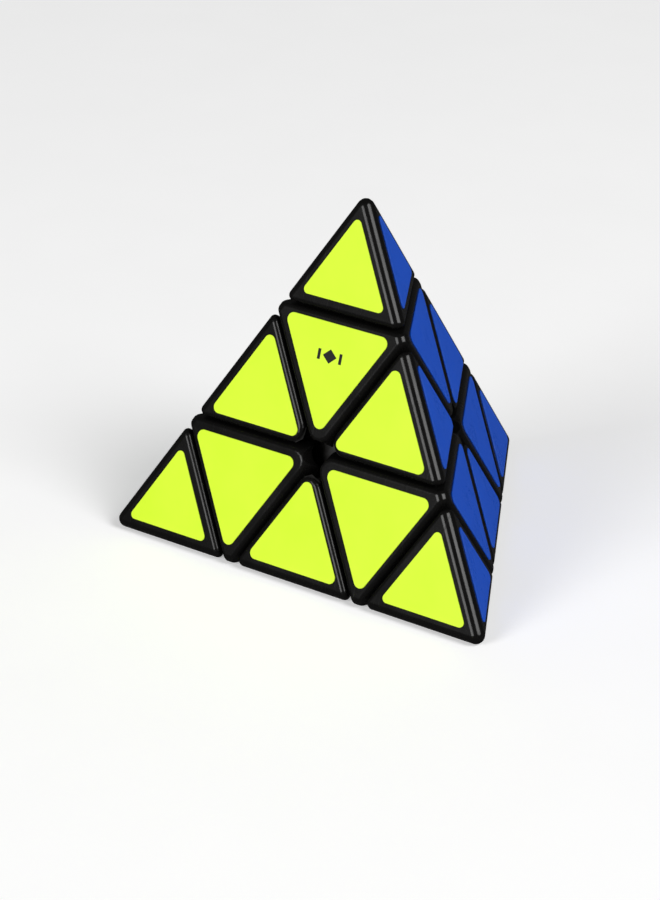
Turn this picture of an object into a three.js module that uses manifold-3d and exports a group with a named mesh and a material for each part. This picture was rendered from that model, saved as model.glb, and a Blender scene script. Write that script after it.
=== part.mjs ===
// Pyramid twisty puzzle: a tetrahedron of three layers that turn about four axes from one core.
// Millimetres, +Z up through the top corner, origin at the centre of the core, front face towards -Y.

import * as THREE from "three";
import { ConvexGeometry } from "three/addons/geometries/ConvexGeometry.js";
import { mergeVertices } from "three/addons/utils/BufferGeometryUtils.js";
import Module from "manifold-3d";

const wasm = await Module();
wasm.setup();

// ---- Driving dimensions, all distances from the core centre unless they say otherwise ----

const EDGE_LENGTH = 98; // sharp edge of the whole tetrahedron
const LAYER_CUT = 6.86; // plane between a corner's layer and the rest
const TIP_CUT = 33.5; // plane between a tip and its axial piece
const GAP = 0.4; // free space between neighbouring moving pieces
const FIT = 0.3; // clearance between pieces fitted into each other
const WALL = 1.5; // moulded wall
const OUTER_ROUND = 1.9; // fillet along the edges of the whole tetrahedron
const PIECE_ROUND = 1.1; // fillet around each moving piece
const CENTRE_ROUND = 3.3; // round on the upright edge of a piece beside a face centre

const CORE_RADIUS = 12.6;
const POST_RADIUS = 3.4;
const POST_TOP = 13.6;
const SCREW_HOLE_RADIUS = 1.85;
const SCREW_HOLE_SPARE = 2; // a screw hole goes on this far past its screw

const FOOT_INNER = 13.2; // the feet are a ball shell around the core
const FOOT_OUTER = 16.0;
const FOOT_SPLIT = 0.3; // half of the space between the feet of two layers
const DOME_INNER = 16.6; // underside of the axial pieces and of the edge necks, clear of the feet
const DOME_OUTER = 18.4;
const SHELL_INNER = 20.25; // the edge shells end here, on the necks
const NECK_OUTER = 19.9;
const PLUG_OUTER = 25;
const FACE_HOLE_RADIUS = 2.9; // open space where six pieces meet at a face centre

const STEM_RADIUS = 4.0;
const STEM_BOTTOM = 13.95;
const BOSS_RADIUS = 3.6;
const BOSS_TOP = 26.4;
const SOCKET_RADIUS = 5.5; // opening on top of an axial piece, for the cup of the tip base
const CUP_RADIUS = 5.0;
const CUP_BORE = 3.9;
const CUP_BOTTOM = 27.0;
const CUP_FLOOR = 28.4;
const CUP_TOP = 37.4;
const PLATE_THICKNESS = 1.6;

const SHAFT_RADIUS = 1.5;
const SHAFT_END = 8.2;
const HEAD_RADIUS = 3.0;
const HEAD_BOTTOM = 35.4;
const HEAD_HEIGHT = 2.0;
const HEAD_SLOPE = { width: 0.9, height: 0.8 }; // the sloping rim on top of a screw head
const RECESS_WIDTH = 0.7;
const RECESS_LENGTH = 3.2;
const RECESS_DEPTH = 1.2;

const SPRING_RADIUS = 2.45;
const SPRING_WIRE = 0.35;
const SPRING_TURNS = 4;
const SPRING_END_SPACE = 0.15; // from an end of the spring to what it presses on
const SPRING_BOTTOM = CUP_FLOOR + SPRING_WIRE + SPRING_END_SPACE;
const SPRING_TOP = HEAD_BOTTOM - SPRING_WIRE - SPRING_END_SPACE;

const STICKER_THICKNESS = 0.15;
const STICKER_LIFT = 0.05; // glue line under a sticker
const STICKER_RIM = 3.45; // from a sharp edge of the tetrahedron to a sticker
// From a cut to a sticker: axialEnd is the one beside the tip, axial the other two.
const STICKER_MARGIN = { tip: 3.05, axialEnd: 1.35, axial: 2.1, edge: 2.1 };
const STICKER_CORNER = { tip: 1.0, axial: 1.5, edge: 1.3 };

const FAR = 100; // beyond the whole puzzle

// ---- How finely round shapes are cut into flats ----

const ROUND_SIDES = 16;
const SCREW_SIDES = 12;
const BALL_DETAIL = 3;
const FILLET_STEPS = 3;
const AXIAL_FILLET_STEPS = 2;
const CENTRE_PLANES = 2;
const WIRE_STEPS = 3;
const SPRING_STEPS = 10; // for each turn
const STICKER_CORNER_STEPS = 2;

const SAME_POINT = 1e-4; // points nearer than this are one point
const ON_PLANE = 1e-6; // a point this near a plane lies on it

// ---- The regular tetrahedron ----

const INRADIUS = EDGE_LENGTH / (2 * Math.sqrt(6));
const TILT = Math.sqrt(8) / 3; // horizontal part of a lower corner's unit direction

function lowerCorner(azimuthDeg) {
  const azimuth = THREE.MathUtils.degToRad(azimuthDeg);
  return new THREE.Vector3(TILT * Math.cos(azimuth), TILT * Math.sin(azimuth), -1 / 3);
}

const CORNERS = {
  top: new THREE.Vector3(0, 0, 1),
  left: lowerCorner(210),
  right: lowerCorner(330),
  back: lowerCorner(90),
};
const CORNER_NAMES = Object.keys(CORNERS);
const EDGES = [
  ["top", "left"],
  ["top", "right"],
  ["top", "back"],
  ["left", "right"],
  ["right", "back"],
  ["back", "left"],
];
// The bottom face carries the puzzle; the other three are named by their colour and opposite corner.
const SIDE_FACES = { yellow: "back", blue: "left", green: "right" };

// Corner directions with one corner straight up: the frame of a corner's pieces.
const CORNER_UP = [CORNERS.top, lowerCorner(90), lowerCorner(210), lowerCorner(330)];
// Corner directions with one edge straight up, between the first two: the frame of an edge's pieces.
const SLANT = Math.sqrt(2 / 3);
const RISE = Math.sqrt(1 / 3);
const EDGE_UP = [
  new THREE.Vector3(SLANT, 0, RISE),
  new THREE.Vector3(-SLANT, 0, RISE),
  new THREE.Vector3(0, SLANT, -RISE),
  new THREE.Vector3(0, -SLANT, -RISE),
];

// ---- Materials ----

function material(color, roughness, metalness) {
  return new THREE.MeshStandardMaterial({ color, roughness, metalness });
}

const MATERIALS = {
  shell: () => material(0x131613, 0.35, 0),
  inner: () => material(0x1a1a1c, 0.6, 0),
  core: () => material(0x2a2a2c, 0.6, 0),
  steel: () => material(0xb4b6ba, 0.3, 1),
  yellow: () => material(0xe2fe48, 0.45, 0),
  blue: () => material(0x164ba7, 0.45, 0),
  green: () => material(0x16a34a, 0.45, 0),
};

// ---- Solids ----

function solid(geometry) {
  const bare = geometry.clone();
  bare.deleteAttribute("normal");
  bare.deleteAttribute("uv");
  const merged = mergeVertices(bare, SAME_POINT);
  const mesh = new wasm.Mesh({
    numProp: 3,
    vertProperties: new Float32Array(merged.attributes.position.array),
    triVerts: new Uint32Array(merged.index.array),
  });
  return new wasm.Manifold(mesh);
}

function geometryOf(body) {
  const mesh = body.getMesh();
  const geometry = new THREE.BufferGeometry();
  geometry.setAttribute("position", new THREE.BufferAttribute(mesh.vertProperties, mesh.numProp));
  geometry.setIndex(new THREE.BufferAttribute(mesh.triVerts, 1));
  geometry.computeVertexNormals();
  return geometry;
}

// A plane keeps the points p with normal . p <= reach.
function plane(normal, reach) {
  return { normal, reach };
}

function below(direction, distance) {
  return plane(direction.clone(), distance);
}

function above(direction, distance) {
  return plane(direction.clone().negate(), -distance);
}

// Planes tangent to the round that joins two planes.
function planesBetween(first, second, radius) {
  const angle = first.normal.angleTo(second.normal);
  const weight = (share) => Math.sin(share * angle) / Math.sin(angle);
  return Array.from({ length: CENTRE_PLANES }, (_, index) => {
    const share = (index + 1) / (CENTRE_PLANES + 1);
    const [own, other] = [weight(1 - share), weight(share)];
    const normal = first.normal.clone().multiplyScalar(own).addScaledVector(second.normal, other);
    return plane(normal, own * (first.reach - radius) + other * (second.reach - radius) + radius);
  });
}

function meetingPoint(a, b, c) {
  const across = new THREE.Vector3().crossVectors(b.normal, c.normal);
  const det = a.normal.dot(across);
  if (Math.abs(det) < ON_PLANE) return null;
  return across
    .multiplyScalar(a.reach)
    .addScaledVector(new THREE.Vector3().crossVectors(c.normal, a.normal), b.reach)
    .addScaledVector(new THREE.Vector3().crossVectors(a.normal, b.normal), c.reach)
    .divideScalar(det);
}

// The corners of the convex cell inside all the planes, each with the planes that meet there.
function cellCorners(planes) {
  const corners = [];
  for (let i = 0; i < planes.length; i += 1) {
    for (let j = i + 1; j < planes.length; j += 1) {
      for (let k = j + 1; k < planes.length; k += 1) {
        const point = meetingPoint(planes[i], planes[j], planes[k]);
        if (!point || planes.some((p) => p.normal.dot(point) > p.reach + ON_PLANE)) continue;
        const known = corners.find((corner) => corner.point.distanceTo(point) < SAME_POINT);
        if (known) [i, j, k].forEach((index) => known.planes.add(planes[index]));
        else corners.push({ point, planes: new Set([planes[i], planes[j], planes[k]]) });
      }
    }
  }
  return corners;
}

function cell(planes) {
  return solid(new ConvexGeometry(cellCorners(planes).map((corner) => corner.point)));
}

// Every direction between the normals, on a grid of the given number of steps.
function directionsBetween(normals, steps) {
  if (normals.length === 1) return [normals[0].clone().multiplyScalar(steps)];
  const found = [];
  for (let share = 0; share <= steps; share += 1) {
    for (const rest of directionsBetween(normals.slice(1), steps - share)) {
      found.push(rest.addScaledVector(normals[0], share));
    }
  }
  return found;
}

// The same cell with every edge and corner rounded, as the hull of a ball at each inner corner.
function roundedCell(planes, radius, steps) {
  const inner = planes.map((p) => plane(p.normal, p.reach - radius));
  const points = cellCorners(inner).flatMap((corner) => {
    const normals = [...corner.planes].map((p) => p.normal);
    return directionsBetween(normals, steps).map((direction) =>
      direction.normalize().multiplyScalar(radius).add(corner.point),
    );
  });
  return solid(new ConvexGeometry(points));
}

function ball(radius) {
  return solid(new THREE.IcosahedronGeometry(radius, BALL_DETAIL));
}

// A round bar along Z between two heights.
function bar(radius, low, high) {
  const cylinder = new THREE.CylinderGeometry(radius, radius, high - low, ROUND_SIDES);
  cylinder.rotateX(Math.PI / 2);
  cylinder.translate(0, 0, (low + high) / 2);
  return solid(cylinder);
}

function block(width, depth, low, high) {
  const box = new THREE.BoxGeometry(width, depth, high - low);
  box.translate(0, 0, (low + high) / 2);
  return solid(box);
}

// Turns a shape made along Z until it points along a direction.
function pointed(body, direction) {
  const turn = new THREE.Quaternion().setFromUnitVectors(CORNERS.top, direction);
  return body.transform(new THREE.Matrix4().makeRotationFromQuaternion(turn).elements);
}

function outerFaces(corners, inset = 0) {
  return corners.map((corner) => above(corner, inset - INRADIUS));
}

function roundedTetrahedron(corners) {
  return roundedCell(outerFaces(corners), OUTER_ROUND, FILLET_STEPS);
}

// ---- Corner pieces, modelled with their corner straight up ----

const [UP, ...SIDES] = CORNER_UP;

function tipPlanes(inset, bottom) {
  return [...outerFaces(SIDES, inset), above(UP, bottom)];
}

function tipCap() {
  const bottom = TIP_CUT + GAP / 2;
  return roundedCell(tipPlanes(0, bottom), PIECE_ROUND, FILLET_STEPS)
    .intersect(roundedTetrahedron(CORNER_UP))
    .subtract(cell(tipPlanes(WALL, bottom - WALL)));
}

// The plate that closes a tip cap, with the cup that holds the spring and the screw head.
function tipBase() {
  const bottom = TIP_CUT + GAP / 2;
  const plate = cell([...tipPlanes(WALL + FIT, bottom), below(UP, bottom + PLATE_THICKNESS)]);
  return plate
    .add(bar(CUP_RADIUS, CUP_BOTTOM, CUP_TOP))
    .subtract(bar(CUP_BORE, CUP_FLOOR, FAR))
    .subtract(bar(SCREW_HOLE_RADIUS, 0, FAR));
}

function axialPlanes(inset) {
  const cuts = SIDES.map((side) => below(side, LAYER_CUT - GAP / 2 - inset));
  const rounds = cuts.flatMap((cut, index) =>
    planesBetween(cut, cuts[(index + 1) % cuts.length], CENTRE_ROUND - inset),
  );
  const ends = [above(UP, LAYER_CUT + GAP / 2 + inset), below(UP, TIP_CUT - GAP / 2 - inset)];
  return [...outerFaces(SIDES, inset), ...cuts, ...rounds, ...ends];
}

function faceHoles(corners, radius = FACE_HOLE_RADIUS) {
  return corners
    .map((corner) => pointed(bar(radius, 0, FAR), corner.clone().negate()))
    .reduce((all, hole) => all.add(hole));
}

function axial() {
  const outside = roundedCell(axialPlanes(0), PIECE_ROUND, AXIAL_FILLET_STEPS);
  const hollow = cell(axialPlanes(WALL))
    .subtract(ball(DOME_OUTER))
    .subtract(bar(BOSS_RADIUS, 0, BOSS_TOP))
    .subtract(faceHoles(SIDES, FACE_HOLE_RADIUS + WALL));
  return outside
    .intersect(roundedTetrahedron(CORNER_UP))
    .subtract(hollow)
    .subtract(bar(SOCKET_RADIUS, BOSS_TOP, FAR))
    .subtract(ball(DOME_INNER))
    .subtract(faceHoles(SIDES))
    .add(bar(STEM_RADIUS, STEM_BOTTOM, DOME_OUTER))
    .subtract(bar(SCREW_HOLE_RADIUS, 0, FAR));
}

// A pan-head screw with a cross recess, standing in the core along its corner's axis.
function screw() {
  const top = HEAD_BOTTOM + HEAD_HEIGHT;
  const profile = [
    [0, SHAFT_END - SHAFT_RADIUS],
    [SHAFT_RADIUS, SHAFT_END],
    [SHAFT_RADIUS, HEAD_BOTTOM],
    [HEAD_RADIUS, HEAD_BOTTOM],
    [HEAD_RADIUS, top - HEAD_SLOPE.height],
    [HEAD_RADIUS - HEAD_SLOPE.width, top],
    [0, top],
  ].map(([radius, height]) => new THREE.Vector2(radius, height));
  const turned = new THREE.LatheGeometry(profile, SCREW_SIDES).rotateX(Math.PI / 2);
  return solid(turned)
    .subtract(block(RECESS_LENGTH, RECESS_WIDTH, top - RECESS_DEPTH, FAR))
    .subtract(block(RECESS_WIDTH, RECESS_LENGTH, top - RECESS_DEPTH, FAR));
}

class Helix extends THREE.Curve {
  getPoint(share, target = new THREE.Vector3()) {
    const angle = share * SPRING_TURNS * 2 * Math.PI;
    const height = THREE.MathUtils.lerp(SPRING_BOTTOM, SPRING_TOP, share);
    return target.set(SPRING_RADIUS * Math.cos(angle), SPRING_RADIUS * Math.sin(angle), height);
  }
}

function spring() {
  const section = new THREE.Shape().absarc(0, 0, SPRING_WIRE, 0, 2 * Math.PI);
  return solid(
    new THREE.ExtrudeGeometry(section, {
      curveSegments: WIRE_STEPS,
      steps: SPRING_TURNS * SPRING_STEPS,
      extrudePath: new Helix(),
    }),
  );
}

// ---- Edge pieces, modelled with their edge straight up, between the first two corners ----

function edgePlanes(faceInset, cutInset) {
  const cuts = EDGE_UP.slice(0, 2).map((corner) => above(corner, LAYER_CUT + GAP / 2 + cutInset));
  const rounds = planesBetween(...cuts, CENTRE_ROUND - cutInset);
  return [...outerFaces(EDGE_UP.slice(2), faceInset), ...cuts, ...rounds];
}

function edgeShell() {
  return roundedCell(edgePlanes(0, 0), PIECE_ROUND, FILLET_STEPS)
    .intersect(roundedTetrahedron(EDGE_UP))
    .subtract(cell(edgePlanes(WALL, WALL)))
    .subtract(ball(SHELL_INNER));
}

// The wide foot under the two neighbouring axial pieces, on a neck that plugs into the edge shell.
function edgeFoot() {
  const ceiling = below(CORNERS.top, PLUG_OUTER);
  const ownSide = EDGE_UP.slice(0, 2).map((corner) => above(corner, FOOT_SPLIT));
  const otherSide = EDGE_UP.slice(2).map((corner) => below(corner, -FOOT_SPLIT));
  const foot = cell([...ownSide, ...otherSide, ceiling])
    .intersect(ball(FOOT_OUTER))
    .subtract(ball(FOOT_INNER));
  const throat = edgePlanes(0, FIT / 2);
  const column = cell([...throat, ...otherSide])
    .intersect(ball(DOME_OUTER))
    .subtract(ball(FOOT_INNER));
  const neck = cell(throat).intersect(ball(NECK_OUTER)).subtract(ball(DOME_INNER));
  const plug = cell(edgePlanes(WALL + FIT, WALL + FIT))
    .intersect(ball(PLUG_OUTER))
    .subtract(ball(DOME_OUTER));
  return foot.add(column).add(neck).subtract(faceHoles(EDGE_UP.slice(2))).add(plug);
}

// ---- The core, in the puzzle's own frame ----

function core() {
  const directions = Object.values(CORNERS);
  const posts = directions.map((direction) => pointed(bar(POST_RADIUS, 0, POST_TOP), direction));
  const bottom = SHAFT_END - SCREW_HOLE_SPARE;
  const holes = directions.map((direction) => pointed(bar(SCREW_HOLE_RADIUS, bottom, FAR), direction));
  const body = posts.reduce((all, post) => all.add(post), ball(CORE_RADIUS));
  return holes.reduce((all, hole) => all.subtract(hole), body);
}

// ---- Stickers, modelled flat in XY with their face's outward normal along +Z ----

const FACE_HEIGHT = (EDGE_LENGTH * Math.sqrt(3)) / 2;
// A cut's distance from the face centre, measured in the face towards its corner.
const inFace = (cut) => (cut - INRADIUS / 3) / TILT;
const RIM = STICKER_RIM - FACE_HEIGHT / 3;

// Each kind's three sides, as distances from the face centre towards the face's three corners.
// Tip and axial stickers put their own corner first, and edge stickers the corner they don't touch.
const STICKER_SIDES = {
  tip: [inFace(TIP_CUT) + STICKER_MARGIN.tip, RIM, RIM],
  axial: [
    inFace(TIP_CUT) - STICKER_MARGIN.axialEnd,
    inFace(LAYER_CUT) - STICKER_MARGIN.axial,
    inFace(LAYER_CUT) - STICKER_MARGIN.axial,
  ],
  edge: [RIM, inFace(LAYER_CUT) + STICKER_MARGIN.edge, inFace(LAYER_CUT) + STICKER_MARGIN.edge],
};

// An equilateral triangle with round corners, its first side square to +Y.
function stickerOutline(kind) {
  const [first, second, third] = STICKER_SIDES[kind];
  const height = Math.abs(first + second + third);
  const towards = first + second + third < 0 ? 1 : -1;
  const middle = new THREE.Vector2((second - third) / Math.sqrt(3), first + (towards * height) / 3);
  const radius = STICKER_CORNER[kind];
  const reach = (height * 2) / 3 - 2 * radius;
  const outline = new THREE.Shape();
  for (let corner = 0; corner < 3; corner += 1) {
    const heading = (towards * Math.PI) / 2 + (corner * 2 * Math.PI) / 3;
    const x = middle.x + reach * Math.cos(heading);
    const y = middle.y + reach * Math.sin(heading);
    outline.absarc(x, y, radius, heading - Math.PI / 3, heading + Math.PI / 3);
  }
  return outline;
}

function sticker(kind) {
  const plate = new THREE.ExtrudeGeometry(stickerOutline(kind), {
    depth: STICKER_THICKNESS,
    bevelEnabled: false,
    curveSegments: STICKER_CORNER_STEPS,
  });
  return solid(plate.translate(0, 0, INRADIUS + STICKER_LIFT));
}

// ---- Placing ----

// A frame whose Z axis is up and whose Y axis leans towards another direction.
function leaningFrame(up, towards) {
  const y = towards.clone().addScaledVector(up, -up.dot(towards)).normalize();
  const x = new THREE.Vector3().crossVectors(y, up);
  return new THREE.Matrix4().makeBasis(x, y, up);
}

function edgeFrame(first, second) {
  const z = first.clone().add(second).normalize();
  const x = first.clone().sub(second).normalize();
  const y = new THREE.Vector3().crossVectors(z, x);
  return new THREE.Matrix4().makeBasis(x, y, z);
}

function namedMesh(name, geometry, look) {
  const mesh = new THREE.Mesh(geometry, MATERIALS[look]());
  mesh.name = name;
  return mesh;
}

function placedGroup(frame) {
  const group = new THREE.Group();
  group.quaternion.setFromRotationMatrix(frame);
  return group;
}

function cornerGroups() {
  const shapes = [
    ["tip_cap", geometryOf(tipCap()), "shell"],
    ["tip_base", geometryOf(tipBase()), "inner"],
    ["axial", geometryOf(axial()), "shell"],
    ["screw", geometryOf(screw()), "steel"],
    ["spring", geometryOf(spring()), "steel"],
  ];
  return CORNER_NAMES.map((name, index) => {
    const neighbour = CORNER_NAMES[(index + 1) % CORNER_NAMES.length];
    const group = placedGroup(leaningFrame(CORNERS[name], CORNERS[neighbour]));
    shapes.forEach(([part, geometry, look]) => group.add(namedMesh(`${name}_${part}`, geometry, look)));
    return group;
  });
}

function edgeGroups() {
  const shell = geometryOf(edgeShell());
  const foot = geometryOf(edgeFoot());
  return EDGES.map(([first, second]) => {
    const group = placedGroup(edgeFrame(CORNERS[first], CORNERS[second]));
    group.add(namedMesh(`${first}_${second}_edge_shell`, shell, "shell"));
    group.add(namedMesh(`${first}_${second}_edge_foot`, foot, "inner"));
    return group;
  });
}

// Nine stickers on each side face, each turned so that its first side faces its corner.
function stickerGroups() {
  const shapes = Object.fromEntries(
    ["tip", "axial", "edge"].map((kind) => [kind, geometryOf(sticker(kind))]),
  );
  const groups = [];
  for (const [colour, opposite] of Object.entries(SIDE_FACES)) {
    const outward = CORNERS[opposite].clone().negate();
    const around = CORNER_NAMES.filter((name) => name !== opposite);
    for (const corner of around) {
      const group = placedGroup(leaningFrame(outward, CORNERS[corner]));
      const [first, second] = EDGES.find(
        (pair) => !pair.includes(corner) && pair.every((name) => around.includes(name)),
      );
      group.add(namedMesh(`${colour}_sticker_${corner}_tip`, shapes.tip, colour));
      group.add(namedMesh(`${colour}_sticker_${corner}_axial`, shapes.axial, colour));
      group.add(namedMesh(`${colour}_sticker_${first}_${second}_edge`, shapes.edge, colour));
      groups.push(group);
    }
  }
  return groups;
}

const puzzle = new THREE.Group();
puzzle.name = "pyramid_twisty_puzzle";
puzzle.add(namedMesh("core", geometryOf(core()), "core"));
puzzle.add(...cornerGroups());
puzzle.add(...edgeGroups());
puzzle.add(...stickerGroups());

export default puzzle;
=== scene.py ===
"""The looks of a pyramid twisty puzzle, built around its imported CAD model. Metres, +Z up."""

import itertools
import math

import bmesh
import bpy
import numpy as np
from mathutils import Matrix, Vector


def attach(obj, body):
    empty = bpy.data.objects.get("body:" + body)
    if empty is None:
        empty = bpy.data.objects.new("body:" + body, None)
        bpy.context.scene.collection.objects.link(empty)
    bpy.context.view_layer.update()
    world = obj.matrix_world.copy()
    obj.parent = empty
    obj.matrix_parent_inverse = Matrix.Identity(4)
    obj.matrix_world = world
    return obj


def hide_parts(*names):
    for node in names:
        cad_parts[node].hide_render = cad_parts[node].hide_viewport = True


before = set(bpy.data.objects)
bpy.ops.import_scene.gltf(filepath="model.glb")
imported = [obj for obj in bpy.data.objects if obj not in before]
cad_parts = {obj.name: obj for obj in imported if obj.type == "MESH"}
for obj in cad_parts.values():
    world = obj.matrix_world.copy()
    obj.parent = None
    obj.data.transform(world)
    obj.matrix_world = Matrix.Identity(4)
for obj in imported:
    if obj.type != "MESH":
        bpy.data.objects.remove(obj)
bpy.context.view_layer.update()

MM = 0.001

# ---- Dimensions, in millimetres from the centre of the core, as in the CAD model ----

EDGE_LENGTH = 98  # sharp edge of the whole tetrahedron
LAYER_CUT = 6.86  # plane between a corner's layer and the rest
TIP_CUT = 33.5  # plane between a tip and its axial piece
GAP = 0.4  # free space between neighbouring moving pieces
WALL = 1.5
OUTER_ROUND = 1.9  # fillet along the edges of the whole tetrahedron
PIECE_ROUND = 1.1  # fillet around each moving piece
CENTRE_ROUND = 3.3  # round on the upright edge of a piece beside a face centre
DOME_INNER = 16.6
DOME_OUTER = 18.4
SHELL_INNER = 20.25
FACE_HOLE_RADIUS = 2.9
STEM_RADIUS = 4.0
STEM_BOTTOM = 13.95
BOSS_TOP = 26.4
SOCKET_RADIUS = 5.5
SCREW_HOLE_RADIUS = 1.85
STICKER_BOTTOM = 0.01
STICKER_TOP = 0.2
STICKER_SOFT_EDGE = 0.06
INK_DEPTH = 0.01  # of the printed mark, above and below the sticker's top
MARK_CENTRE = (-0.5, 20.3)  # in the yellow face, from the face centre and towards the top
MARK_DIAMOND = (1.7, 1.5)  # half of its width and of its height
MARK_BAR = (0.7, 1.1, 2.3)  # width, half of the height, distance from the centre
STICKER_RIM = 3.45
STICKER_MARGIN = {"tip": 3.05, "axial_end": 1.35, "axial": 2.1, "edge": 2.1}
STICKER_CORNER = {"tip": 1.0, "axial": 1.5, "edge": 1.3}
FAR = 100  # beyond everything

STEP_ANGLE = math.radians(9)  # between the flats that make up a round
ROUND_STEPS = 6  # planes across a round that is part of a cell's shape
ROUND_SIDES = 64
BALL_DETAIL = 5
STICKER_CORNER_STEPS = 12
STICKER_EDGE_STEPS = 4
MOULDING_CREASE = 32  # degrees; a sharper turn of the surface stays a crease
STICKER_CREASE = 50
SAME_POINT = 1e-4
ON_PLANE = 1e-7

# ---- The regular tetrahedron ----

INRADIUS = EDGE_LENGTH / (2 * math.sqrt(6))
TILT = math.sqrt(8) / 3


def lower_corner(azimuth_deg):
    azimuth = math.radians(azimuth_deg)
    return np.array((TILT * math.cos(azimuth), TILT * math.sin(azimuth), -1 / 3))


UP = np.array((0.0, 0.0, 1.0))
CORNERS = {
    "top": UP,
    "left": lower_corner(210),
    "right": lower_corner(330),
    "back": lower_corner(90),
}
CORNER_NAMES = list(CORNERS)
EDGES = [
    ("top", "left"),
    ("top", "right"),
    ("top", "back"),
    ("left", "right"),
    ("right", "back"),
    ("back", "left"),
]
FACES = {"yellow": "back", "blue": "left", "green": "right", "red": "top"}
SIDES = [lower_corner(90), lower_corner(210), lower_corner(330)]
SLANT = math.sqrt(2 / 3)
RISE = math.sqrt(1 / 3)
EDGE_UP = [
    np.array((SLANT, 0, RISE)),
    np.array((-SLANT, 0, RISE)),
    np.array((0, SLANT, -RISE)),
    np.array((0, -SLANT, -RISE)),
]

# ---- Convex cells. A plane (normal, reach) keeps the points p with normal . p <= reach ----


def below(direction, distance):
    return (direction, distance)


def above(direction, distance):
    return (-direction, -distance)


def outer_faces(corners, inset=0):
    return [above(corner, inset - INRADIUS) for corner in corners]


def unit(vector):
    return vector / np.linalg.norm(vector)


def pairs(items):
    """Each item with the next one, round to the first."""
    return zip(items, items[1:] + items[:1])


def cell_corners(planes):
    """The corners of a convex cell: each a point and the set of its planes' indices."""
    normals = np.array([normal for normal, _ in planes])
    reaches = np.array([reach for _, reach in planes])
    points = []
    for trio in itertools.combinations(range(len(planes)), 3):
        three = normals[list(trio)]
        if abs(np.linalg.det(three)) < ON_PLANE:
            continue
        point = np.linalg.solve(three, reaches[list(trio)])
        inside = (normals @ point < reaches + ON_PLANE).all()
        if inside and all(np.linalg.norm(point - known) > SAME_POINT for known in points):
            points.append(point)
    return [
        (point, set(np.flatnonzero(abs(normals @ point - reaches) < SAME_POINT).tolist()))
        for point in points
    ]


def in_turn(normal, middle, items, place):
    """The items in order of their angle around a normal."""
    x = unit(np.cross(normal, np.roll(normal, 1) + (0.3, 0.1, 0.2)))
    y = np.cross(normal, x)

    def angle(item):
        spoke = place(item) - middle
        return math.atan2(spoke @ y, spoke @ x)

    return sorted(items, key=angle)


def arc(a, b, steps=None):
    """Directions from one to another, both included, evenly turned."""
    angle = math.acos(max(-1, min(1, a @ b)))
    steps = steps or max(1, math.ceil(angle / STEP_ANGLE - ON_PLANE))
    if angle < SAME_POINT:
        return [a] * (steps + 1)
    turns = [angle * step / steps for step in range(steps + 1)]
    return [(a * math.sin(angle - turn) + b * math.sin(turn)) / math.sin(angle) for turn in turns]


def new_solid():
    return bmesh.new()


def add_polygon(bm, points):
    bm.faces.new([bm.verts.new(p) for p in points])


def welded(bm):
    bmesh.ops.remove_doubles(bm, verts=bm.verts, dist=SAME_POINT)
    bmesh.ops.dissolve_degenerate(bm, edges=bm.edges, dist=SAME_POINT)
    bmesh.ops.recalc_face_normals(bm, faces=bm.faces)
    return bm


def cell(planes):
    """The sharp convex cell inside all the planes."""
    corners = cell_corners(planes)
    bm = new_solid()
    for index, (normal, _) in enumerate(planes):
        points = [point for point, on in corners if index in on]
        if len(points) > 2:
            add_polygon(bm, in_turn(normal, sum(points) / len(points), points, lambda p: p))
    return welded(bm)


def grid_between(normals, steps):
    """Directions between the normals, on a grid of the given number of steps."""
    if len(normals) == 1:
        return [normals[0] * steps]
    found = []
    for share in range(steps + 1):
        found += [rest + normals[0] * share for rest in grid_between(normals[1:], steps - share)]
    return found


def round_planes(planes, radius):
    """Planes tangent to the round, or to the ball, that joins two or three planes."""
    normals = [normal for normal, _ in planes]
    inner = [reach - radius for _, reach in planes]
    touch = np.linalg.lstsq(np.array(normals), np.array(inner), rcond=None)[0]
    found = []
    for direction in map(unit, grid_between(normals, ROUND_STEPS)):
        if max(direction @ normal for normal in normals) < 1 - ON_PLANE:
            found.append((direction, direction @ touch + radius))
    return found


def rounded_cell(planes, radius):
    """The cell with every edge a true round and every corner part of a ball."""
    corners = cell_corners([(normal, reach - radius) for normal, reach in planes])
    bm = new_solid()
    loops = {}
    for index, (normal, _) in enumerate(planes):
        own = [i for i, corner in enumerate(corners) if index in corner[1]]
        if len(own) > 2:
            middle = sum(corners[i][0] for i in own) / len(own)
            loops[index] = in_turn(normal, middle, own, lambda i: corners[i][0])
            add_polygon(bm, [corners[i][0] + normal * radius for i in loops[index]])
    edges = {}
    for index, own in loops.items():
        for ends in pairs(own):
            edges.setdefault(frozenset(ends), []).append(index)
    for ends, (a, b) in edges.items():
        first, second = (corners[i][0] for i in ends)
        turns = arc(planes[a][0], planes[b][0])
        for low, high in zip(turns, turns[1:]):
            spokes = [(first, low), (second, low), (second, high), (first, high)]
            add_polygon(bm, [point + turn * radius for point, turn in spokes])
    for i, (point, _) in enumerate(corners):
        normals = [planes[index][0] for index, own in loops.items() if i in own]
        middle = unit(sum(normals))
        normals = in_turn(middle, 0, normals, lambda n: n)
        rim = []
        for a, b in pairs(normals):
            rim += arc(a, b)[:-1]
        widest = math.acos(min(spoke @ middle for spoke in rim))
        steps = max(1, math.ceil(widest / STEP_ANGLE))
        spokes = [arc(spoke, middle, steps)[:-1] for spoke in rim]
        for near, far in pairs(spokes):
            for low, high in zip(zip(near, far), zip(near[1:], far[1:])):
                add_polygon(bm, [point + v * radius for v in (*low, *high[::-1])])
            add_polygon(bm, [point + v * radius for v in (near[-1], far[-1], middle)])
    return welded(bm)


def ball(radius):
    bm = new_solid()
    bmesh.ops.create_icosphere(bm, subdivisions=BALL_DETAIL, radius=radius)
    return bm


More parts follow.
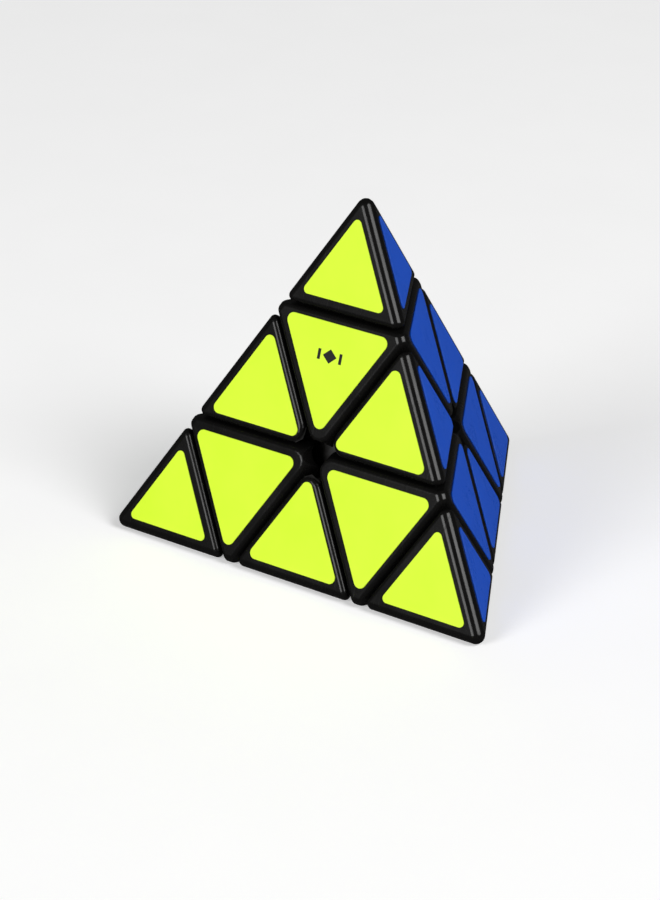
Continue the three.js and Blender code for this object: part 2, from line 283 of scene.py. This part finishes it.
def bar(radius, low, high):
    """A round bar along Z between two heights."""
    bm = new_solid()
    middle = Matrix.Translation((0, 0, (low + high) / 2))
    bmesh.ops.create_cone(
        bm,
        cap_ends=True,
        segments=ROUND_SIDES,
        radius1=radius,
        radius2=radius,
        depth=high - low,
        matrix=middle,
    )
    return bm


def pointed(bm, direction):
    bm.transform(Vector(UP).rotation_difference(Vector(direction)).to_matrix().to_4x4())
    return bm


# ---- Joining and cutting solids ----


def mesh_of(bm, name):
    mesh = bpy.data.meshes.new(name)
    bm.to_mesh(mesh)
    bm.free()
    return mesh


def object_of(mesh, name):
    obj = bpy.data.objects.new(name, mesh)
    bpy.context.scene.collection.objects.link(obj)
    return obj


def combined(mesh, operation, bm):
    """The mesh after one boolean operation with a second solid."""
    first = object_of(mesh, "first")
    second = object_of(mesh_of(bm, "tool"), "second")
    step = first.modifiers.new("step", "BOOLEAN")
    step.operation = operation
    step.solver = "EXACT"
    step.object = second
    bpy.context.view_layer.update()
    evaluated = first.evaluated_get(bpy.context.evaluated_depsgraph_get())
    result = bpy.data.meshes.new_from_object(evaluated)
    for obj in (first, second):
        used = obj.data
        bpy.data.objects.remove(obj)
        bpy.data.meshes.remove(used)
    return result


def built(bm, *steps):
    mesh = mesh_of(bm, "shape")
    for operation, tool in steps:
        mesh = combined(mesh, operation, tool)
    return mesh


# ---- The moulded pieces, corner pieces with their corner up and edge pieces with their edge up ----


def tip_planes(inset, bottom):
    return [*outer_faces(SIDES, inset), above(UP, bottom)]


def tip_cap():
    bottom = TIP_CUT + GAP / 2
    point = round_planes(outer_faces(SIDES), OUTER_ROUND)
    return built(
        rounded_cell([*tip_planes(0, bottom), *point], PIECE_ROUND),
        ("DIFFERENCE", cell(tip_planes(WALL, bottom - WALL))),
    )


def axial_planes():
    outer = outer_faces(SIDES)
    cuts = [below(side, LAYER_CUT - GAP / 2) for side in SIDES]
    ridges = [round_planes(pair, OUTER_ROUND) for pair in pairs(outer)]
    uprights = [round_planes(pair, CENTRE_ROUND) for pair in pairs(cuts)]
    ends = [above(UP, LAYER_CUT + GAP / 2), below(UP, TIP_CUT - GAP / 2)]
    return [*outer, *cuts, *ends, *sum(ridges + uprights, [])]


def face_holes(corners):
    return [("DIFFERENCE", pointed(bar(FACE_HOLE_RADIUS, 1, FAR), -corner)) for corner in corners]


def axial():
    return built(
        rounded_cell(axial_planes(), PIECE_ROUND),
        ("DIFFERENCE", bar(SOCKET_RADIUS, BOSS_TOP, FAR)),
        ("DIFFERENCE", ball(DOME_INNER)),
        *face_holes(SIDES),
        ("UNION", bar(STEM_RADIUS, STEM_BOTTOM, DOME_OUTER)),
        ("DIFFERENCE", bar(SCREW_HOLE_RADIUS, 1, FAR)),
    )


def edge_planes(face_inset, cut_inset):
    cuts = [above(corner, LAYER_CUT + GAP / 2 + cut_inset) for corner in EDGE_UP[:2]]
    uprights = round_planes(cuts, CENTRE_ROUND - cut_inset)
    return [*outer_faces(EDGE_UP[2:], face_inset), *cuts, *uprights]


def edge_shell():
    ridge = round_planes(outer_faces(EDGE_UP[2:]), OUTER_ROUND)
    return built(
        rounded_cell([*edge_planes(0, 0), *ridge], PIECE_ROUND),
        ("DIFFERENCE", cell(edge_planes(WALL, WALL))),
        ("DIFFERENCE", ball(SHELL_INNER)),
    )


# ---- Placing ----


def leaning_frame(up, towards):
    """A turn whose Z axis is up and whose Y axis leans towards another direction."""
    y = unit(towards - up * (up @ towards))
    return Matrix((np.cross(y, up), y, up)).transposed().to_4x4()


def edge_frame(first, second):
    z = unit(first + second)
    x = unit(first - second)
    return Matrix((x, np.cross(z, x), z)).transposed().to_4x4()


def placed(mesh, turn, name):
    """A copy of a shape in its own place, in metres."""
    own = mesh.copy()
    own.name = name
    own.transform(Matrix.Scale(MM, 4) @ turn)
    return object_of(own, name)


def smoothed(obj, angle_deg):
    """Rounds shade as rounds and flats stay flat."""
    obj.data.shade_smooth()
    obj.data.set_sharp_from_angle(angle=math.radians(angle_deg))
    step = obj.modifiers.new("flat_faces_lead", "WEIGHTED_NORMAL")
    step.mode = "FACE_AREA"
    step.weight = 100
    step.keep_sharp = True


# ---- Materials ----


class Graph:
    """A material's nodes, written as calls."""

    def __init__(self, name):
        self.material = bpy.data.materials.new(name)
        self.material.use_nodes = True
        self.tree = self.material.node_tree
        self.shader = self.tree.nodes["Principled BSDF"]
        self.place = self.node("ShaderNodeTexCoord").outputs["Object"]

    def node(self, kind, **settings):
        node = self.tree.nodes.new(kind)
        for name, value in settings.items():
            setattr(node, name, value)
        return node

    def put(self, socket, value):
        if isinstance(value, bpy.types.NodeSocket):
            self.tree.links.new(value, socket)
        else:
            socket.default_value = value

    def set(self, **values):
        for name, value in values.items():
            self.put(self.shader.inputs[name.replace("_", " ")], value)

    def noise(self, size_mm, detail=4, roughness=0.55):
        node = self.node("ShaderNodeTexNoise")
        self.put(node.inputs["Vector"], self.place)
        node.inputs["Scale"].default_value = 1 / (size_mm * MM)
        node.inputs["Detail"].default_value = detail
        node.inputs["Roughness"].default_value = roughness
        return node.outputs["Fac"]

    def scratches(self, size_mm, stretch):
        """Noise drawn out along one direction, for hairline marks."""
        turn = self.node("ShaderNodeMapping")
        self.put(turn.inputs["Vector"], self.place)
        turn.inputs["Rotation"].default_value = (0.7, 0.4, 1.1)
        turn.inputs["Scale"].default_value = stretch
        node = self.node("ShaderNodeTexNoise")
        self.put(node.inputs["Vector"], turn.outputs["Vector"])
        node.inputs["Scale"].default_value = 1 / (size_mm * MM)
        node.inputs["Detail"].default_value = 2
        return node.outputs["Fac"]

    def ramp(self, value, low, high, to_low, to_high):
        node = self.node("ShaderNodeMapRange", clamp=True)
        self.put(node.inputs["Value"], value)
        node.inputs["From Min"].default_value = low
        node.inputs["From Max"].default_value = high
        node.inputs["To Min"].default_value = to_low
        node.inputs["To Max"].default_value = to_high
        return node.outputs["Result"]

    def maths(self, operation, a, b):
        node = self.node("ShaderNodeMath", operation=operation)
        self.put(node.inputs[0], a)
        self.put(node.inputs[1], b)
        return node.outputs[0]

    def mix(self, share, a, b):
        node = self.node("ShaderNodeMix", data_type="RGBA")
        self.put(node.inputs["Factor"], share)
        self.put(node.inputs["A"], a)
        self.put(node.inputs["B"], b)
        return node.outputs["Result"]

    def bump(self, height, depth_mm, strength, below_it=None):
        node = self.node("ShaderNodeBump")
        node.inputs["Strength"].default_value = strength
        node.inputs["Distance"].default_value = depth_mm * MM
        self.put(node.inputs["Height"], height)
        if below_it is not None:
            self.put(node.inputs["Normal"], below_it)
        return node.outputs["Normal"]

    def edge_wear(self, radius_mm):
        """Near 1 along outer edges, from how far a widened bevel bends the normal."""
        bevel = self.node("ShaderNodeBevel", samples=6)
        bevel.inputs["Radius"].default_value = radius_mm * MM
        geometry = self.node("ShaderNodeNewGeometry")
        dot = self.node("ShaderNodeVectorMath", operation="DOT_PRODUCT")
        self.put(dot.inputs[0], bevel.outputs["Normal"])
        self.put(dot.inputs[1], geometry.outputs["Normal"])
        return self.ramp(dot.outputs["Value"], 0.999, 0.93, 0, 1)


def grey(value, warmth=0.0):
    return (value * (1 + warmth), value, value * (1 - warmth), 1)


def black_plastic(name, tone, gloss, worn):
    g = Graph(name)
    patches = g.noise(9, 3)
    grain = g.noise(0.35, 2)
    fine = g.noise(0.12, 2)
    marks = g.ramp(g.scratches(0.5, (1, 0.04, 0.04)), 0.66, 0.74, 0, 1)
    wear = g.maths("MULTIPLY", g.edge_wear(0.7), g.ramp(g.noise(1.6, 5), 0.45, 0.7, 0, 1))
    base = g.mix(patches, grey(tone * 0.8), grey(tone * 1.25, 0.06))
    base = g.mix(g.maths("MULTIPLY", wear, worn), base, grey(tone * 7))
    g.set(Base_Color=base)
    rough = g.ramp(patches, 0.3, 0.7, gloss - 0.04, gloss + 0.05)
    rough = g.maths("ADD", rough, g.ramp(fine, 0.35, 0.65, -0.025, 0.025))
    rough = g.maths("ADD", rough, g.maths("MULTIPLY", marks, 0.1))
    rough = g.maths("ADD", rough, g.maths("MULTIPLY", wear, 0.08))
    g.set(Roughness=rough)
    g.set(IOR=1.3)
    soft = g.bump(g.noise(5, 2), 0.02, 0.5)
    grained = g.bump(grain, 0.004, 0.35, soft)
    g.set(Normal=g.bump(marks, -0.004, 0.25, grained))
    return g.material


def vinyl(name, colour, gloss):
    g = Graph(name)
    patches = g.noise(12, 3)
    grain = g.noise(0.25, 3)
    specks = g.ramp(g.noise(0.5, 4, 0.7), 0.7, 0.78, 0, 1)
    wear = g.maths("MULTIPLY", g.edge_wear(0.35), g.ramp(g.noise(1.1, 4), 0.4, 0.7, 0, 1))
    light = tuple(min(1, c * 1.06 + 0.004) for c in colour) + (1,)
    dark = tuple(c * 0.93 for c in colour) + (1,)
    base = g.mix(patches, dark, light)
    base = g.mix(g.maths("MULTIPLY", specks, 0.12), base, tuple(c * 0.6 for c in colour) + (1,))
    base = g.mix(g.maths("MULTIPLY", wear, 0.3), base, tuple(c * 0.5 + 0.08 for c in colour) + (1,))
    g.set(Base_Color=base)
    rough = g.ramp(patches, 0.3, 0.7, gloss - 0.04, gloss + 0.06)
    g.set(Roughness=g.maths("ADD", rough, g.ramp(grain, 0.35, 0.65, -0.03, 0.03)))
    g.set(IOR=1.4)
    waves = g.bump(g.noise(7, 2), 0.03, 0.45)
    g.set(Normal=g.bump(grain, 0.003, 0.3, waves))
    return g.material


def steel(name, tone, gloss, stretch):
    g = Graph(name)
    drawn = g.scratches(0.3, stretch)
    stains = g.ramp(g.noise(1.5, 4), 0.5, 0.75, 0, 1)
    g.set(Base_Color=g.mix(stains, grey(tone, -0.02), grey(tone * 0.7, 0.05)))
    rough = g.ramp(drawn, 0.3, 0.7, gloss - 0.06, gloss + 0.08)
    g.set(Roughness=g.maths("ADD", rough, g.maths("MULTIPLY", stains, 0.12)))
    g.set(Metallic=1.0)
    g.set(Normal=g.bump(drawn, 0.004, 0.4))
    return g.material


MATERIALS = {
    "shell_plastic": black_plastic("shell_plastic", 0.004, 0.25, 0.2),
    "inner_plastic": black_plastic("inner_plastic", 0.012, 0.5, 0.2),
    "core_plastic": black_plastic("core_plastic", 0.03, 0.55, 0.2),
    "screw_steel": steel("screw_steel", 0.55, 0.3, (0.1, 0.1, 1)),
    "spring_steel": steel("spring_steel", 0.45, 0.32, (1, 1, 0.1)),
    "yellow_vinyl": vinyl("yellow_vinyl", (0.67, 0.96, 0.022), 0.36),
    "blue_vinyl": vinyl("blue_vinyl", (0.001, 0.087, 0.65), 0.3),
    "green_vinyl": vinyl("green_vinyl", (0.01, 0.34, 0.07), 0.42),
    "red_vinyl": vinyl("red_vinyl", (0.58, 0.014, 0.014), 0.42),
    "mark_ink": black_plastic("mark_ink", 0.01, 0.5, 0.1),
}


def dressed(obj, slot):
    obj.data.materials.clear()
    obj.data.materials.append(MATERIALS[slot])
    return obj


# ---- Building the outer pieces in place of their CAD nodes ----


def moulding(mesh, turn, node, body):
    obj = placed(mesh, turn, node + "_moulding")
    smoothed(obj, MOULDING_CREASE)
    dressed(obj, "shell_plastic")
    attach(obj, body)
    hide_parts(node)


def corner_mouldings():
    shapes = {"tip_cap": (tip_cap(), "tip"), "axial": (axial(), "axial_piece")}
    for index, name in enumerate(CORNER_NAMES):
        neighbour = CORNER_NAMES[(index + 1) % len(CORNER_NAMES)]
        turn = leaning_frame(CORNERS[name], CORNERS[neighbour])
        for part, (mesh, body) in shapes.items():
            moulding(mesh, turn, f"{name}_{part}", f"{name}_{body}")


def edge_mouldings():
    shape = edge_shell()
    for first, second in EDGES:
        turn = edge_frame(CORNERS[first], CORNERS[second])
        moulding(shape, turn, f"{first}_{second}_edge_shell", f"{first}_{second}_edge")


# ---- Stickers, flat in XY with their face's outward normal along +Z ----


def in_face(cut):
    return (cut - INRADIUS / 3) / TILT


RIM = STICKER_RIM - EDGE_LENGTH * math.sqrt(3) / 6
STICKER_SIDES = {
    "tip": [in_face(TIP_CUT) + STICKER_MARGIN["tip"], RIM, RIM],
    "axial": [
        in_face(TIP_CUT) - STICKER_MARGIN["axial_end"],
        in_face(LAYER_CUT) - STICKER_MARGIN["axial"],
        in_face(LAYER_CUT) - STICKER_MARGIN["axial"],
    ],
    "edge": [
        RIM,
        in_face(LAYER_CUT) + STICKER_MARGIN["edge"],
        in_face(LAYER_CUT) + STICKER_MARGIN["edge"],
    ],
}


def sticker_outline(kind, inset):
    """An equilateral triangle with round corners, its first side square to +Y."""
    first, second, third = STICKER_SIDES[kind]
    total = first + second + third
    towards = 1 if total < 0 else -1
    middle = Vector(((second - third) / math.sqrt(3), first + towards * abs(total) / 3))
    radius = STICKER_CORNER[kind]
    reach = abs(total) * 2 / 3 - 2 * radius
    outline = []
    for corner in range(3):
        heading = towards * math.pi / 2 + corner * 2 * math.pi / 3
        centre = middle + reach * Vector((math.cos(heading), math.sin(heading)))
        for step in range(STICKER_CORNER_STEPS + 1):
            angle = heading + (step / STICKER_CORNER_STEPS * 2 - 1) * math.pi / 3
            spoke = Vector((math.cos(angle), math.sin(angle)))
            outline.append(centre + (radius - inset) * spoke)
    return outline


def plate_of_rings(rings):
    """A closed plate through rings of points, from the lowest to the highest."""
    bm = new_solid()
    layers = [[bm.verts.new((p.x, p.y, height)) for p in ring] for ring, height in rings]
    bm.faces.new(layers[0][::-1])
    bm.faces.new(layers[-1])
    count = len(layers[0])
    for low, high in zip(layers, layers[1:]):
        for i in range(count):
            after = (i + 1) % count
            bm.faces.new((low[i], low[after], high[after], high[i]))
    return mesh_of(bm, "plate")


def sticker(kind):
    top = INRADIUS + STICKER_TOP
    rings = [(sticker_outline(kind, 0), INRADIUS + STICKER_BOTTOM)]
    for step in range(STICKER_EDGE_STEPS + 1):
        angle = step / STICKER_EDGE_STEPS * math.pi / 2
        inset = STICKER_SOFT_EDGE * (1 - math.cos(angle))
        height = top - STICKER_SOFT_EDGE * (1 - math.sin(angle))
        rings.append((sticker_outline(kind, inset), height))
    return plate_of_rings(rings)


def stick(mesh, turn, name, body, slot, node=None):
    obj = placed(mesh, turn, name)
    smoothed(obj, STICKER_CREASE)
    dressed(obj, slot)
    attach(obj, body)
    if node:
        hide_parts(node)


def stickers():
    shapes = {kind: sticker(kind) for kind in STICKER_SIDES}
    for colour, opposite in FACES.items():
        outward = -CORNERS[opposite]
        around = [name for name in CORNER_NAMES if name != opposite]
        for corner in around:
            turn = leaning_frame(outward, CORNERS[corner])
            pair = next(p for p in EDGES if corner not in p and set(p) <= set(around))
            edge = "_".join(pair)
            for kind, place, body in (
                ("tip", f"{corner}_tip", f"{corner}_tip"),
                ("axial", f"{corner}_axial", f"{corner}_axial_piece"),
                ("edge", f"{edge}_edge", f"{edge}_edge"),
            ):
                node = f"{colour}_sticker_{place}" if opposite != "top" else None
                name = f"{colour}_vinyl_{place}"
                stick(shapes[kind], turn, name, body, f"{colour}_vinyl", node)


def printed_mark():
    """A plain ornament on the yellow sticker under the top tip: a diamond between two bars."""
    x, y = MARK_CENTRE
    wide, high = MARK_DIAMOND
    bar, tall, away = MARK_BAR
    diamond = [(x + wide, y), (x, y + high), (x - wide, y), (x, y - high)]
    shapes = {"diamond": diamond}
    for side, name in ((-1, "left_bar"), (1, "right_bar")):
        near, far = sorted((x + side * away, x + side * (away + bar)))
        shapes[name] = [(near, y - tall), (far, y - tall), (far, y + tall), (near, y + tall)]
    base = INRADIUS + STICKER_TOP
    turn = leaning_frame(-CORNERS["back"], CORNERS["top"])
    for name, corners in shapes.items():
        ring = [Vector(corner) for corner in corners]
        plate = plate_of_rings([(ring, base - INK_DEPTH), (ring, base + INK_DEPTH)])
        stick(plate, turn, f"printed_mark_{name}", "top_axial_piece", "mark_ink")


corner_mouldings()
edge_mouldings()
stickers()
printed_mark()

# ---- The inner CAD nodes keep their shape and get a finish ----

for node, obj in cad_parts.items():
    if obj.hide_render:
        continue
    slot = {
        "core": "core_plastic",
        "screw": "screw_steel",
        "spring": "spring_steel",
    }.get(node.split("_")[-1], "inner_plastic")
    obj.data.materials.clear()
    obj.data.materials.append(MATERIALS[slot])

# ---- Studio: a pale floor, two soft lights and a dim room ----

FLOOR_SIZE = 16  # metres
FLOOR_SPACE = 0.02  # millimetres under the bottom stickers
SOFTBOX_DISTANCE = 2.5  # metres
SOFTBOX_SIZE = (1.1, 1.1)

floor_mesh = bpy.data.meshes.new("floor")
half = FLOOR_SIZE / 2
height = -(INRADIUS + STICKER_TOP + FLOOR_SPACE) * MM
floor_mesh.from_pydata(
    [(-half, -half, height), (half, -half, height), (half, half, height), (-half, half, height)],
    [],
    [(0, 1, 2, 3)],
)
floor = object_of(floor_mesh, "floor")
floor.visible_glossy = False  # its reflection would wash out the black and the blue


def floor_material():
    g = Graph("floor")
    g.set(Base_Color=g.mix(g.noise(60, 4), grey(0.87), grey(0.9)))
    g.set(Roughness=g.ramp(g.noise(20, 3), 0.3, 0.7, 0.7, 0.8))
    g.set(Normal=g.bump(g.noise(0.8, 3), 0.02, 0.2))
    g.set(Emission_Color=(1, 1, 1, 1))
    g.set(Emission_Strength=0.38)
    return g.material


floor.data.materials.append(floor_material())


def soft_light(name, direction, power):
    data = bpy.data.lights.new(name, "AREA")
    data.shape = "RECTANGLE"
    data.size, data.size_y = SOFTBOX_SIZE
    data.energy = power
    obj = bpy.data.objects.new(name, data)
    bpy.context.scene.collection.objects.link(obj)
    obj.location = Vector(direction).normalized() * SOFTBOX_DISTANCE
    obj.rotation_mode = "QUATERNION"
    obj.rotation_quaternion = Vector(direction).to_track_quat("Z", "Y")
    return obj


soft_light("left_softbox", (-0.173, -0.915, 0.365), 36)
soft_light("right_softbox", (0.760, -0.089, 0.644), 40)

world = bpy.data.worlds.new("room")
world.use_nodes = True
world.node_tree.nodes["Background"].inputs["Color"].default_value = (1, 1, 1, 1)
world.node_tree.nodes["Background"].inputs["Strength"].default_value = 0.05
bpy.context.scene.world = world

# ---- Camera, at the photograph's viewing angle ----

CAMERA_LENS = 128.68
CAMERA_PLACE = (0.350737, -0.491823, 0.294138)
CAMERA_RIGHT = (0.80947, 0.58700, -0.01030)
CAMERA_UP = (-0.24944, 0.35975, 0.89909)
CAMERA_BACK = (0.53148, -0.72526, 0.43765)

camera_data = bpy.data.cameras.new("camera")
camera_data.lens = CAMERA_LENS
camera_data.sensor_width = 36
camera_data.sensor_fit = "AUTO"
camera = bpy.data.objects.new("camera", camera_data)
bpy.context.scene.collection.objects.link(camera)
axes = Matrix((CAMERA_RIGHT, CAMERA_UP, CAMERA_BACK)).transposed()
camera.matrix_world = Matrix.Translation(CAMERA_PLACE) @ axes.to_4x4()
bpy.context.scene.camera = camera
bpy.context.scene.view_settings.view_transform = "Standard"
